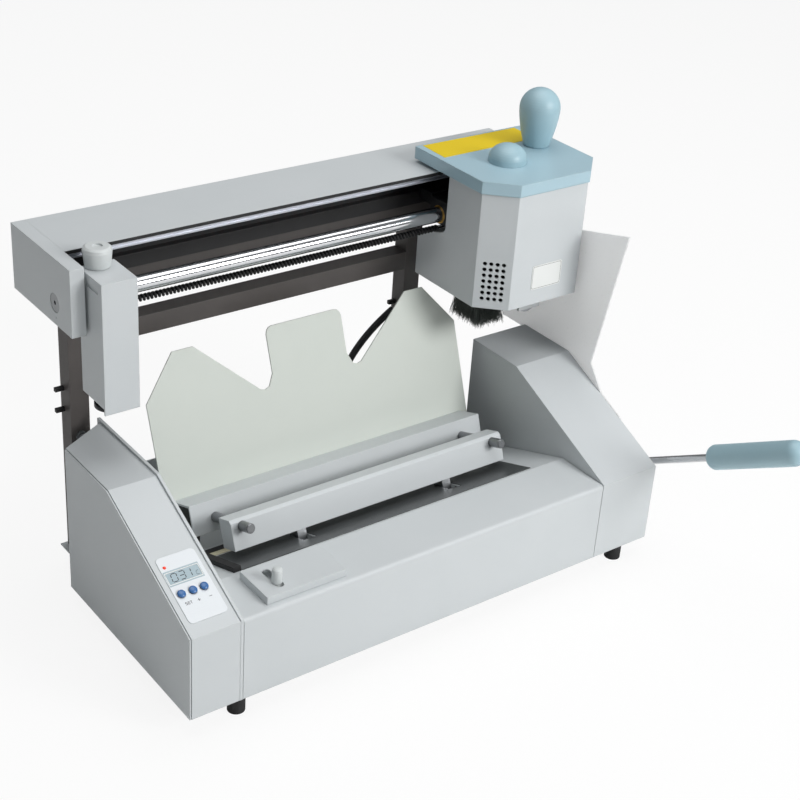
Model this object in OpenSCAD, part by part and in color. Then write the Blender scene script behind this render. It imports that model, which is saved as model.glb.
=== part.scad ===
// Desktop perfect binding machine: a clamp for the book block, a hot glue head and a milling
// carriage that run along one round rod, and a lever that closes the clamp.
// Machine numbers: x from the left side, y back from the front of the base, z up from its floor.

/* [Base] */
// Width of the base from the left side to the right end guard
body_w = 557.5; // [540:0.5:600]
// Height of the rubber feet
foot_h = 20; // [12:1:30]
// Diameter of the rubber feet
foot_d = 17; // [14:1:26]
// Thickness of the sheet steel covers
sheet_t = 1.5; // [1:0.1:1.8]

/* [Frame] */
// Width of the square steel tube of the columns and cross bar
tube_w = 20; // [18:0.5:22]
// Diameter of the round guide rod
rod_d = 16; // [14:0.5:16.5]
// Height of the beam cover above the base floor
beam_top = 353; // [352:0.5:354]

/* [Clamp] */
// Opening between the two jaws with the lever at rest
jaw_gap = 30; // [28:0.5:34]
// Diameter of the chrome jaw shafts
shaft_d = 10; // [8:0.5:12]
// Module of the pinions and racks
gear_m = 2.5; // [2.4:0.05:2.5]
// Number of teeth on a pinion
gear_n = 18; // [18:1:18]

/* [Lever] */
// Diameter of the torque shaft under the deck
torque_d = 14; // [12:0.5:16]
// Diameter of the lever grip
grip_d = 26; // [22:0.5:30]
// Length of the lever grip
grip_l = 121; // [100:1:130]

/* [Head] */
// Diameter of the ball handle at its widest
ball_d = 43; // [38:1:50]
// Diameter of the glue roller
roller_d = 30; // [26:0.5:32]
// Diameter of the round filler dome
dome_d = 40; // [36:0.5:44]

/* [Keys] */
// Diameter of the round push buttons
button_d = 7.7; // [6:0.1:8.5]

/* [Cord] */
// Number of curls in the curly cord
curls = 62; // [30:1:64]
// Thickness of the cord itself
cord_d = 2.4; // [1.6:0.1:2.4]

/* [Hidden] */
eps = 0.01;
run_fit = 0.05;
joint_gap = 0.6;
lean = 20;
box_w = 51;
side_t = 3;
front_x = 54.6;
cab_x = 482;
guard_t = sheet_t;
cab_r = body_w - guard_t;
cab_back = 223;
cab_top = 158;
cap_t = 14;
beam_r = body_w + 8.5;
beam_bot = 287;
beam_back = 327;
lip_h = 3.5;
rod_y = 240;
rod_z = 308.5;
rod_r = rod_d / 2;
col_y = 283;
col_lx = 30.5;
col_rx = body_w - 130.5;
bar_z = 230;
tube_z = 288;
rail_z = 308;
jaw_c = 268.2;
jaw_w = 354;
jaw_hw = 163;
jaw_y = 161.5;
jaw_z = 104.8;
jaw_d = 32.5;
jaw_h = 31;
shaft_dx = 151;
shaft_b = -17.8;
shaft_r = shaft_d / 2;
rack_dx = 88;
deck_b = -47.55;
pit_y = 95;
pit_z = 38.4;
gear_r = gear_m * gear_n / 2;
pit_a = -39.75;
pit_b = -85.15;
lever_x = body_w + grip_d / 2 + 0.8;
lever_tilt = 30;
grip_r = grip_d / 2;
grip_s = 179;
cord_y = 238;
cord_z = 294.5;
cord_l0 = 80;
cord_l1 = 433;
coil_r = 2.3;
wire_r = 0.8;
slot_x = 103;
dome_x = 488.3;
dome_y = 203.9;
ball_x = 547.5;
ball_y = 228;
ball_h = 62;
mid_x = (lever_x + grip_r) / 2;
grip_tip = pit_y - (grip_s + grip_l - grip_r) * cos(lever_tilt) - grip_r;
mid_y = (grip_tip + beam_back) / 2;

white = [0.84, 0.86, 0.86];
panel = [0.80, 0.82, 0.81];
bluegrey = [0.62, 0.73, 0.78];
dark = [0.30, 0.29, 0.29];
black = [0.09, 0.09, 0.10];
steel = [0.62, 0.63, 0.64];
chrome = [0.80, 0.81, 0.83];
plate_c = [0.80, 0.82, 0.79];
yellow = [0.92, 0.79, 0.12];
blue = [0.10, 0.30, 0.75];
brass = [0.78, 0.62, 0.28];
green = [0.10, 0.38, 0.22];

// The whole machine stands with its feet on the floor and its middle over the origin.
module placed() {
    translate([-mid_x, -mid_y, foot_h])
    children();
}

// A profile in y and z, drawn out along x.
module yz(pts, x0, x1) {
    translate([x0, 0, 0])
    rotate([90, 0, 90])
    linear_extrude(x1 - x0)
    polygon(pts);
}

// A profile in x and y, drawn out along z.
module xy(pts, z0, z1) {
    translate([0, 0, z0])
    linear_extrude(z1 - z0)
    polygon(pts);
}

module box(x0, x1, y0, y1, z0, z1) {
    translate([x0, y0, z0])
    cube([x1 - x0, y1 - y0, z1 - z0]);
}

module rod_x(y, z, r, x0, x1) {
    translate([x0, y, z])
    rotate([0, 90, 0])
    cylinder(h = x1 - x0, r = r, $fn = 48);
}

module rod_y_(x, z, r, y0, y1) {
    translate([x, y0, z])
    rotate([-90, 0, 0])
    cylinder(h = y1 - y0, r = r, $fn = 48);
}

module rod_z_(x, y, r, z0, z1) {
    translate([x, y, z0])
    cylinder(h = z1 - z0, r = r, $fn = 48);
}

// The clamp frame: a runs back and down along the jaw shafts, b runs up the leaning faces.
module tilt() {
    translate([0, jaw_y, jaw_z])
    rotate([-lean, 0, 0])
    children();
}

// Base pan: floor with a back wall, cut across behind the control box.
module base_pan() {
    color(panel)
    placed()
    difference() {
        union() {
            xy([[1, 2], [cab_r, 2], [cab_r, 306], [24, 306], [24, 262], [1, 236]], 0, sheet_t);
            box(60, cab_x - 2, 304.5, 306, sheet_t - eps, 70);
        }
        for (x = [56, 525])
            for (y = [14, 255])
                rod_z_(x, y, 2.5, -1, 4);
    }
}

// Base front cover with its flat deck and the slope that falls to the back.
module base_cover() {
    t = sheet_t;
    color(white)
    placed()
    difference() {
        union() {
            yz([[2, sheet_t], [0, sheet_t], [0, 86.5], [0.6, 88.6], [1.6, 89.6], [3.4, 90], [63, 90],
                [153, 57.24], [153, 57.24 - t], [62.7, 90 - t], [3.4, 90 - t], [t, 86.5], [t, 2 * t],
                [2, 2 * t]], front_x, cab_x - joint_gap);
            box(front_x, cab_x - joint_gap, 0, 12, sheet_t, 2 * t);
        }
        tilt()
        for (s = [-1, 1])
            box(jaw_c + s * rack_dx - 6.5, jaw_c + s * rack_dx + 6.5, -64, -4, -56, -40);
        for (s = [0, 1])
            rod_z_(120 + s * 30, 30, 2.2, 80, 95);
    }
}

module feet() {
    color(black)
    placed()
    for (x = [56, 525])
        for (y = [14, 255])
            union() {
                rod_z_(x, y, foot_d / 2, -foot_h, 0);
                rod_z_(x, y, 2.4, -1, sheet_t);
            }
}

// Outline of the control box in y and z, set in by d.
function box_prof(d, yb) = [[d, sheet_t], [d, 90 - d * 0.3], [150 + d * 0.4, 159 - d],
    [yb - d, 159 - d], [yb - d, sheet_t]];

// Control box cover: a bent sheet open below, with its back cut across.
module control_cover() {
    t = sheet_t;
    color(white)
    placed()
    difference() {
        intersection() {
            union() {
                yz(box_prof(0, 262), 1.9, box_w);
                for (y = [20, 200])
                    rod_x(y, 40, 5, 1.2, 2.5);
                rod_x(200, 130, 5, 1.2, 2.5);
            }
            xy([[0, -1], [60, -1], [60, 262], [51, 262], [0, 234]], 0, 170);
        }
        intersection() {
            yz([[t, 0], [t, 90 - t * 0.7], [150 + t * 0.3, 159 - t], [300, 159 - t], [300, 0]], t + 1.9,
                box_w + 1);
            xy([[0, -1], [60, -1], [60, 262 - t], [51, 262 - t], [0, 234 - t]], -1, 170);
        }
        slope_at()
        union() {
            box(8.2, 42.9, 54.1, 67.9, -9, 9);
            for (x = [14.1, 25.6, 36.8])
                rod_z_(x, 43.6, button_d / 2 - 0.6, -9, 9);
            rod_z_(12.3, 73.1, 1.6, -9, 9);
        }
        box(20, 48, 240, 270, 30, 78);
    }
}

// The sloping control face: x across, y up the slope, z out of it.
module slope_at() {
    translate([0, 0, 90])
    rotate([atan2(69, 150), 0, 0])
    children();
}

module left_panel() {
    color(white)
    placed()
    yz(box_prof(0.3, 233.8), 0, 1.2);
}

module inner_plate() {
    color(white)
    placed()
    yz([[-0.2, sheet_t], [-0.2, 91], [149.5, 161], [268, 161], [268, sheet_t]], box_w, box_w + side_t);
}

module rounded(w, h, r) {
    union() {
        translate([r, 0, 0])
        square([w - 2 * r, h]);
        translate([0, r, 0])
        square([w, h - 2 * r]);
        for (x = [r, w - r])
            for (y = [r, h - r])
                translate([x, y, 0])
                circle(r = r, $fn = 32);
    }
}

module keypad() {
    color([0.78, 0.80, 0.80])
    placed()
    slope_at()
    difference() {
        translate([7.5, 13.7, 0])
        linear_extrude(0.6)
        rounded(38.8, 70, 4.5);
        for (x = [14.1, 25.6, 36.8])
            rod_z_(x, 43.6, button_d / 2 + 0.35, -1, 2);
        rod_z_(12.3, 73.1, 1.6, -1, 2);
        box(9.4, 41.7, 55.3, 66.7, -1, 2);
    }
}

module lcd_window() {
    color([0.42, 0.45, 0.38])
    placed()
    slope_at()
    union() {
        box(8.3, 42.8, 54.2, 67.8, -3, 0);
        box(9.5, 41.6, 55.4, 66.6, -eps, 0.5);
    }
}

module led_lamp() {
    color([0.75, 0.20, 0.15])
    placed()
    slope_at()
    union() {
        rod_z_(12.3, 73.1, 1.5, -4, 0.4);
        translate([12.3, 73.1, 0.4])
        sphere(r = 1.5, $fn = 24);
        rod_z_(12.3, 73.1, 2.4, -4, -2.4);
    }
}

module display_board() {
    color(green)
    placed()
    slope_at()
    union() {
        difference() {
            box(4, 47, 16, 80, -7.6, -6);
            for (x = [14.1, 25.6, 36.8])
                rod_z_(x, 43.6, 2.2, -9, -5);
        }
        box(9, 42, 55, 67, -6.1, -3);
        rod_z_(12.3, 73.1, 2, -6.1, -4);
        box(3.4, 4.1, 16, 80, -7.6, -6);
    }
}

// Supply board with its transformer, standing on the base floor.
module power_board() {
    color([0.20, 0.42, 0.26])
    placed()
    union() {
        box(8, 46, 60, 200, 8, 9.6);
        for (x = [12, 42])
            for (y = [66, 194])
                rod_z_(x, y, 3, sheet_t, 8 + eps);
        box(12, 42, 130, 178, 9.5, 48);
        rod_z_(20, 84, 9, 9.5, 40);
        rod_z_(36, 108, 6, 9.5, 32);
    }
}

// Mains inlet and the frame of the rocker switch above it, in the back of the control box.
module power_inlet() {
    color(black)
    placed()
    difference() {
        box(20.4, 47.6, 244, 266, 30.4, 77.6);
        box(23, 45, 252, 270, 33, 49);
        box(26, 42, 250, 270, 53, 75);
        rod_x(256, 64, 1.5 + run_fit, 24, 44);
    }
}

module power_rocker() {
    color(black)
    placed()
    union() {
        yz([[253, 58], [253, 70], [265.4, 71.5], [264.6, 64], [268.4, 56.8]], 26.5, 41.5);
        rod_x(256, 64, 1.5, 24.4, 43.6);
    }
}

module right_cover() {
    t = sheet_t;
    color(white)
    placed()
    difference() {
        yz([[0, sheet_t], [0, 90], [150, cab_top], [cab_back, cab_top], [cab_back, sheet_t]], cab_x, cab_r);
        yz([[t, 0], [t, 90 - t * 0.7], [150 + t * 0.3, cab_top - t], [cab_back - t, cab_top - t],
            [cab_back - t, 0]], cab_x + t, cab_r - t);
        rod_x(pit_y, pit_z, torque_d / 2 + 1, cab_x - 1, cab_r + 1);
    }
}

module right_guard() {
    color(white)
    placed()
    difference() {
        yz([[60, 40], [60, 117.2], [92, 131.7], [114, 159], [84, 317], [156, 298], [206, 284], [206, 250],
            [262, 250], [262, 154], [cab_back, 154], [cab_back, 40]], cab_r, cab_r + guard_t);
        rod_x(pit_y, pit_z, torque_d / 2 + 1, cab_r - 1, cab_r + 9);
        rod_x(300 / 2, 60, 2.2, cab_r - 1, cab_r + 9);
    }
}

module square_tube(x0, y0, z0, z1) {
    difference() {
        box(x0, x0 + tube_w, y0, y0 + tube_w, z0, z1);
        box(x0 + 2, x0 + tube_w - 2, y0 + 2, y0 + tube_w - 2, z0 - 1, z1 + 1);
    }
}

module column(x0) {
    difference() {
        square_tube(x0, col_y, sheet_t, tube_z);
        rod_x(col_y + tube_w / 2, 60, 1, x0 - 1, x0 + 1);
    }
}

module columns() {
    color(dark)
    placed()
    union() {
        column(col_lx);
        column(col_rx);
    }
}

module cross_bar() {
    color(dark)
    placed()
    difference() {
        box(col_lx + tube_w, col_rx, col_y, col_y + tube_w, bar_z, bar_z + tube_w);
        box(col_lx + tube_w - 1, col_rx + 1, col_y + 2, col_y + tube_w - 2, bar_z + 2,
            bar_z + tube_w - 2);
    }
}

module upper_tube() {
    color(dark)
    placed()
    difference() {
        box(cap_t, beam_r - cap_t, col_y, col_y + tube_w, tube_z, rail_z);
        box(cap_t - 1, beam_r, col_y + 2, col_y + tube_w - 2, tube_z + 2, rail_z - 2);
    }
}

module beam_cover() {
    t = sheet_t;
    color(white)
    placed()
    yz([[246, beam_top - lip_h], [246, beam_top], [beam_back, beam_top], [beam_back, beam_bot], [306, beam_bot],
        [306, beam_bot + t], [beam_back - t, beam_bot + t], [beam_back - t, beam_top - t],
        [246 + t, beam_top - t], [246 + t, beam_top - lip_h]], cap_t, beam_r - cap_t);
}

module cap(x0) {
    difference() {
        yz([[207, beam_bot], [207, beam_top], [beam_back, beam_top], [beam_back, beam_bot]],
            x0, x0 + cap_t);
        rod_x(rod_y, rod_z, rod_r + run_fit, x0 - 1, x0 + cap_t + 1);
        rod_x(rod_y, rod_z, rod_r + 1.3, x0 == 0 ? -1 : x0 + cap_t - 3.4, x0 == 0 ? 3.4 : x0 + cap_t + 1);
        rod_x(cord_y, cord_z, wire_r + run_fit, x0 - 1, x0 + cap_t + 1);
    }
}

module beam_caps() {
    color(white)
    placed()
    union() {
        cap(0);
        cap(beam_r - cap_t);
    }
}

// Black rail above the upper tube: its front ledge keeps both carriages from turning on the rod.
module slide_rail() {
    color(black)
    placed()
    union() {
        box(cap_t, beam_r - cap_t, col_y - 8, col_y + 3, rail_z, rail_z + 14);
        box(cap_t, beam_r - cap_t, col_y, col_y + 3, rail_z, beam_top - sheet_t);
    }
}

module guide_rod() {
    color(chrome)
    placed()
    difference() {
        rod_x(rod_y, rod_z, rod_r, 3.4, beam_r - 3.4);
        rod_x(rod_y, rod_z, 2.5, 0, 16);
        rod_x(rod_y, rod_z, 2.5, beam_r - 16, beam_r);
    }
}

module cord_wire() {
    color(dark)
    placed()
    union() {
        rod_x(cord_y, cord_z, wire_r, 1, beam_r - 1);
        rod_x(cord_y, cord_z, 3.2, cord_l0 - 6, cord_l0 - cord_d / 2 + 0.6);
    }
}

// Socket bolts at the ends of the guide rod and a hex bolt on the left column.
module frame_bolts() {
    color(dark)
    placed()
    union() {
        rod_x(rod_y, rod_z, 2.45, 2, 12);
        rod_x(rod_y, rod_z, 2.45, beam_r - 12, beam_r - 2);
        difference() {
            rod_x(rod_y, rod_z, rod_r + 1, 0.4, 3.4);
            rod_x(rod_y, rod_z, 2, -1, 1.9);
        }
        difference() {
            rod_x(rod_y, rod_z, rod_r + 1, beam_r - 3.4, beam_r - 0.4);
            rod_x(rod_y, rod_z, 2, beam_r - 1.9, beam_r + 1);
        }
        translate([col_lx + tube_w / 2, col_y, 137])
        rotate([90, 0, 0])
        union() {
            cylinder(h = 1.2, r = 5.2, $fn = 48);
            cylinder(h = 5, r = 4.5, $fn = 6);
        }
    }
}

module cable_clips() {
    color(dark)
    placed()
    for (x = [col_lx, col_rx])
        for (z = [161, 184])
            box(x - 9, x, col_y + 12, col_y + 16, z, z + 4);
}

// Path of the loom, from the column ear down to the floor: x falls fast at first, z evenly.
function loom_at(u) = [col_rx - 7 - 75 * (1 - pow(1 - u, 4)), 291, 180 - 174.7 * u];

module loom() {
    color(black)
    placed()
    for (i = [0:6])
        hull() {
            translate(loom_at(pow(i / 7, 1.3)))
            sphere(r = 3.8, $fn = 16);
            translate(loom_at(pow((i + 1) / 7, 1.3)))
            sphere(r = 3.8, $fn = 16);
        }
}

module rear_jaw() {
    color(white)
    placed()
    tilt()
    difference() {
        box(jaw_c - jaw_w / 2, jaw_c + jaw_w / 2, 0, jaw_d, -jaw_h, 0);
        box(jaw_c - jaw_w, jaw_c + jaw_w, 2, jaw_d - 2, 2 - jaw_h, -2);
        for (s = [-1, 1])
            rod_y_(jaw_c + s * shaft_dx, shaft_b, shaft_r + run_fit, -1, jaw_d + 1);
    }
}

// Two legs that hold the rear jaw above the base floor.
module jaw_legs() {
    color(dark)
    placed()
    for (s = [-1, 1])
        difference() {
            box(jaw_c + s * 171 - 3, jaw_c + s * 171 + 3, 156, 178, sheet_t, 110);
            tilt()
            box(0, 600, -120, 90, -jaw_h, 60);
        }
}

// Back rest with its crown shaped top edge.
module crown_plate() {
    h = [[186, 99], [150, 143], [127, 143], [65, 87], [61, 83.4], [56, 82], [51, 84], [45, 96],
        [45, 136], [43.5, 140], [41, 142.6], [37, 143.5]];
    n = len(h);
    l = [for (i = [0:n - 1]) [-h[n - 1 - i][0], h[n - 1 - i][1]]];
    color(plate_c)
    placed()
    tilt()
    translate([jaw_c, jaw_d, 0])
    rotate([90, 0, 0])
    translate([0, 0, -sheet_t])
    linear_extrude(sheet_t)
    polygon(concat([[186, -36]], h, l, [[-186, -36]]));
}

module jaw_shafts() {
    color(chrome)
    placed()
    tilt()
    for (s = [-1, 1])
        union() {
            rod_y_(jaw_c + s * shaft_dx, shaft_b, shaft_r, -67, jaw_d - eps);
            rod_y_(jaw_c + s * shaft_dx, shaft_b, shaft_r - 1, -68, -66);
        }
}

// Raised plate with the slot that carries the stop knob.
module deck_plate() {
    color(white)
    placed()
    difference() {
        box(83, 168, 8, 55, 90, 98);
        box(84.5, 166.5, 9.5, 56, 89, 96.5);
        union() {
            box(slot_x - 4.2, slot_x + 4.2, 20, 42, 95, 99);
            rod_z_(slot_x, 20, 4.2, 95, 99);
            rod_z_(slot_x, 42, 4.2, 95, 99);
        }
    }
}

module seal_bar() {
    color(black)
    placed()
    tilt()
    box(84, 92, -84, -12, deck_b, deck_b + 5);
}

module bearings() {
    color(dark)
    placed()
    for (x = [150, 300, 386])
        difference() {
            union() {
                box(x, x + 14, pit_y - 16, pit_y + 16, sheet_t, pit_z);
                rod_x(pit_y, pit_z, 16, x, x + 14);
            }
            rod_x(pit_y, pit_z, torque_d / 2 + run_fit, x - 1, x + 15);
        }
}

module panel_screws() {
    color(brass)
    placed()
    union() {
        for (y = [70, 110])
            difference() {
                rod_x(y, 104, 4, box_w + side_t, box_w + side_t + 2.2);
                box(box_w + side_t + 1.2, box_w + side_t + 3, y - 0.6, y + 0.6, 98, 112);
            }
        for (y = [150, 205])
            rod_x(y, 60, 4, cab_r + guard_t, cab_r + guard_t + 2);
    }
}

// The torque shaft turns in its bearings and carries the lever.
module torque_shaft() {
    color(steel)
    placed()
    rod_x(pit_y, pit_z, torque_d / 2, 146, lever_x + 6);
}

// A pinion with straight flanked teeth, one tooth pointing along the turned y axis.
module gear(w, bore) {
    difference() {
        union() {
            cylinder(h = w, r = gear_r - 1.25 * gear_m, $fn = 72);
            for (i = [0:gear_n - 1])
                rotate([0, 0, i * 360 / gear_n])
                linear_extrude(w)
                polygon([[-0.84 * gear_m, gear_r - 1.5 * gear_m], [0.84 * gear_m, gear_r - 1.5 * gear_m],
                    [0.70 * gear_m, gear_r], [0.34 * gear_m, gear_r + 0.85 * gear_m],
                    [-0.34 * gear_m, gear_r + 0.85 * gear_m], [-0.70 * gear_m, gear_r]]);
        }
        translate([0, 0, -1])
        cylinder(h = w + 2, r = bore, $fn = 48);
    }
}

module pinions() {
    color(steel)
    placed()
    for (s = [-1, 1])
        translate([jaw_c + s * rack_dx - 5, pit_y, pit_z])
        rotate([90, 0, 90])
        rotate([0, 0, -lean])
        gear(10, torque_d / 2);
}

module lever_rod() {
    color(chrome)
    placed()
    translate([lever_x, pit_y, pit_z])
    rotate([-lever_tilt, 0, 0])
    difference() {
        union() {
            translate([-6, 0, 0])
            rotate([0, 90, 0])
            cylinder(h = 12, r = 12, $fn = 64);
            rotate([90, 0, 0])
            cylinder(h = grip_s + 60, r = 4, $fn = 48);
        }
        translate([-7, 0, 0])
        rotate([0, 90, 0])
        cylinder(h = 14, r = torque_d / 2, $fn = 48);
    }
}

module lever_grip() {
    color(bluegrey)
    placed()
    translate([lever_x, pit_y, pit_z])
    rotate([-lever_tilt, 0, 0])
    rotate([90, 0, 0])
    difference() {
        rotate_extrude($fn = 72)
        polygon(concat([[0, grip_s], [grip_r - 3, grip_s], [grip_r - 1, grip_s + 1],
            [grip_r, grip_s + 3.5]],
            [for (i = [0:12]) [grip_r * cos(i * 7.5), grip_s + grip_l - grip_r + grip_r * sin(i * 7.5)]]));
        translate([0, 0, grip_s - 1])
        cylinder(h = 62, r = 4 + run_fit, $fn = 48);
    }
}

module front_jaw() {
    color(steel)
    placed()
    tilt()
    difference() {
        translate([jaw_c - jaw_hw, 0, 0])
        rotate([90, 0, 90])
        linear_extrude(2 * jaw_hw)
        polygon([[-jaw_gap - 22, -40], [-jaw_gap - 22, -13], [-jaw_gap - 19, -10], [-jaw_gap, -10],
            [-jaw_gap, -40]]);
        for (s = [-1, 1])
            rod_y_(jaw_c + s * shaft_dx, shaft_b - 0, shaft_r + run_fit, -jaw_gap - 30, -jaw_gap + 5);
    }
}

// Racks under the deck with the arms that carry the front jaw.
module racks() {
    p = PI * gear_m;
    r0 = pit_b + gear_r;
    color(steel)
    placed()
    tilt()
    for (s = [-1, 1])
        translate([jaw_c + s * rack_dx - 5, 0, 0])
        rotate([90, 0, 90])
        union() {
            linear_extrude(10)
            union() {
                translate([-80, r0 + 1.25 * gear_m])
                square([64, deck_b - 2.6 - sheet_t - r0 - 1.25 * gear_m]);
                for (i = [-4:2])
                    translate([pit_a + (i + 0.5) * p, r0])
                    polygon([[-0.80 * gear_m, 1.25 * gear_m + eps], [0.80 * gear_m, 1.25 * gear_m + eps],
                        [0.68 * gear_m, 0], [0.36 * gear_m, -0.85 * gear_m],
                        [-0.36 * gear_m, -0.85 * gear_m], [-0.68 * gear_m, 0]]);
            }
            linear_extrude(10)
            translate([-jaw_gap - 20, r0 + 1.3 * gear_m])
            square([16, -40 - r0 - 1.3 * gear_m]);
        }
}

function head_out(d) = [[431 + d, 172 + 0.4 * d], [458.5 + 0.4 * d, 146 + d], [550 - d, 146 + d],
    [550 - d, 225 - d], [431 + d, 225 - d]];
function head_tail(d) = [[222.5, 231 - d], [222.5, 297.8 - d], [225, 297.8 - d], [226.5 - d / 4, 295 - d],
    [229, 292.5 - d], [234, 290.5 - d], [250, 287 - d], [270 - d, 280 - d * 1.3], [270 - d, 231 - d]];

module head_housing() {
    color(white)
    placed()
    difference() {
        union() {
            xy(head_out(0), 231, 356.6);
            yz(head_tail(0), 431, 550);
        }
        xy(head_out(2), 230, 354.6);
        yz(head_tail(2), 433, 548);
        translate([444.75, 159, 0])
        rotate([0, 0, -43.4])
        for (c = [-1.5:1.5])
            for (r = [0:6])
                rod_y_(c * 6.5, 242 + r * 6.5, 2.2, -12, 12);
        rod_z_(dome_x, dome_y, dome_d / 2 - 5, 350, 360);
    }
}

module head_plate() {
    color(bluegrey)
    placed()
    difference() {
        xy([[429, 171], [457.5, 144], [550, 144], [577, 171], [577, 282], [429, 282]], 356.6, 369.6);
        rod_z_(dome_x, dome_y, dome_d / 2 - 5, 350, 380);
        rod_z_(ball_x, ball_y, 4, 350, 368);
    }
}

module ball_handle() {
    color(bluegrey)
    placed()
    translate([ball_x, ball_y, 369.6])
    rotate_extrude($fn = 72)
    polygon(concat([[0, 0], [ball_d * 0.30, 0], [ball_d * 0.325, 1.5]],
        [for (i = [-8:12]) [i < 0 ? ball_d / 2 - (ball_d * 0.165) * pow(-i / 8, 1.6) : ball_d / 2 * cos(i * 7.5),
        i < 0 ? ball_h - ball_d / 2 + i * (ball_h - ball_d / 2 - 3) / 8 : ball_h - ball_d / 2 + ball_d / 2 * sin(i * 7.5)]]));
}

// Bearing block that rides the rod, with an arm that reaches over the flat rail.
module block(x0, x1, y0) {
    difference() {
        union() {
            box(x0, x1, y0, 255, 298.3, 324);
            box(x0, x1, 254, col_y - 2, 322.6, 327);
            box(x0, x1, 254, col_y - 8.6, 314, 323);
        }
        rod_x(rod_y, rod_z, rod_r + 1.6, x0 - 1, x1 + 1);
    }
}

module head_block() {
    color(black)
    placed()
    block(433, 548, 225);
}

module bush(x0, x1) {
    difference() {
        rod_x(rod_y, rod_z, rod_r + 1.6, x0, x1);
        rod_x(rod_y, rod_z, rod_r + run_fit, x0 - 1, x1 + 1);
    }
}

module head_bush() {
    color(brass)
    placed()
    union() {
        bush(433, 463);
        bush(518, 548);
    }
}

// Glue trough with heater bores, roller cheeks and the blade that levels the glue film.
module glue_tank() {
    color(steel)
    placed()
    difference() {
        union() {
            box(452, 541, 158, 222, 244, 300);
            box(433, 548, 178, 222, 298, 300);
            for (y = [160, 217])
                box(486, 514, y, y + 3, 218, 245);
            box(518, 519.2, 166, 214, 230, 245);
        }
        box(455, 538, 161, 219, 258, 301);
        for (x = [466, 527])
            rod_y_(x, 251, 4 + run_fit, 157, 215);
        rod_y_(500, 228, 4 + run_fit, 150, 230);
    }
}

module heaters() {
    color(chrome)
    placed()
    for (x = [466, 527])
        rod_y_(x, 251, 4, 155, 215);
}

module glue_roller() {
    color(steel)
    placed()
    union() {
        rod_y_(500, 228, 4, 159, 221);
        rod_y_(500, 228, roller_d / 2, 164, 216);
    }
}

// Brush: rows of straight bristles standing down from a slice of backing.
module brush() {
    color(black)
    placed()
    resize([0, 0, 0])
    union() {
        box(440, 474, 172, 214, 236, 244);
        for (i = [0:11])
            for (j = [0:24])
                translate([441.6 + i * 2.8, 173.2 + j * 1.65, 203])
                cylinder(h = 33.5, r = 0.6, $fn = 3);
    }
}

// Curly cord: one round tube wound on a helix along the wire.
cord_n = 8;
cord_step = (cord_l1 - cord_l0) / (curls * cord_n);
function cord_c(i) = [cord_l0 + i * cord_step, coil_r * cos(i * 360 / cord_n), coil_r * sin(i * 360 / cord_n)];
function cord_ring(i) = [for (k = [0:5]) let (t = i * 360 / cord_n, q = k * 60)
    [cord_l0 + i * cord_step + cord_d / 2 * sin(q) + (i == 0 ? cord_d / 2 : (i == curls * cord_n ? -cord_d / 2 : 0)),
    (coil_r + cord_d / 2 * cos(q)) * cos(t), (coil_r + cord_d / 2 * cos(q)) * sin(t)]];
cord_pts = [for (i = [0:curls * cord_n]) each cord_ring(i)];
cord_faces = [for (i = [0:curls * cord_n - 1]) for (k = [0:5])
    each [[i * 6 + k, (i + 1) * 6 + k, i * 6 + (k + 1) % 6],
    [(i + 1) * 6 + k, (i + 1) * 6 + (k + 1) % 6, i * 6 + (k + 1) % 6]]];
cord_last = curls * cord_n * 6;
cord_gap = min([for (k = [0:5]) norm(cord_pts[k + 6 * cord_n * 3] - cord_pts[((k + 3) % 6) + 6 * cord_n * 2])]);
echo(least_self_gap = min(cord_gap, cord_n * cord_step - cord_d));

module curly_cord() {
    color(black)
    placed()
    translate([0, cord_y, cord_z])
    polyhedron(points = cord_pts, faces = concat(cord_faces,
        [for (k = [1:4]) [0, k, k + 1]],
        [for (k = [1:4]) [cord_last, cord_last + k + 1, cord_last + k]]));
}

module filler_dome() {
    color([0.66, 0.76, 0.80])
    placed()
    translate([dome_x, dome_y, 369.6])
    union() {
        rotate_extrude($fn = 72)
        polygon(concat([[0, 0.02], [dome_d / 2, 0.02]],
            [for (i = [1:10]) [dome_d / 2 * cos(i * 9), 3 + (dome_d / 2 - 4) * sin(i * 9)]]));
        translate([0, 0, -8])
        cylinder(h = 9, r = dome_d / 2 - 5.1, $fn = 64);
    }
}

module cutter_body() {
    color(white)
    placed()
    difference() {
        union() {
            box(17, 52, 181, 225, 222, 346);
            box(17, 52, 181, 183, 216, 223);
        }
        box(19, 50, 183, 223, 221, 344);
        box(16, 18, 188, 212, 334, 338);
        rod_z_(33, 219, 3 + run_fit, 340, 350);
    }
}

module cutter_block() {
    color(black)
    placed()
    union() {
        block(17, 52, 225);
        difference() {
            box(19, 50, 183, 223, 250, 262);
            rod_z_(34, 204, 4 + run_fit, 249, 263);
        }
    }
}

module cutter_bush() {
    color(brass)
    placed()
    bush(17, 52);
}

module cutter_disc() {
    color(dark)
    placed()
    union() {
        rod_z_(34, 204, 15, 212, 216);
        rod_z_(34, 204, 4, 215, 266);
    }
}

module cutter_knob() {
    color(bluegrey)
    placed()
    translate([33, 219, 346.3])
    difference() {
        union() {
            rotate_extrude($fn = 64)
            polygon([[0, 0], [11.5, 0], [12, 2], [13.4, 15], [12.6, 17.6], [10.5, 19], [0, 19]]);
            translate([0, 0, -5])
            cylinder(h = 6, r = 3, $fn = 48);
        }
        translate([0, 0, 17.5])
        cylinder(h = 5, r = 5, $fn = 48);
    }
}

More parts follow.
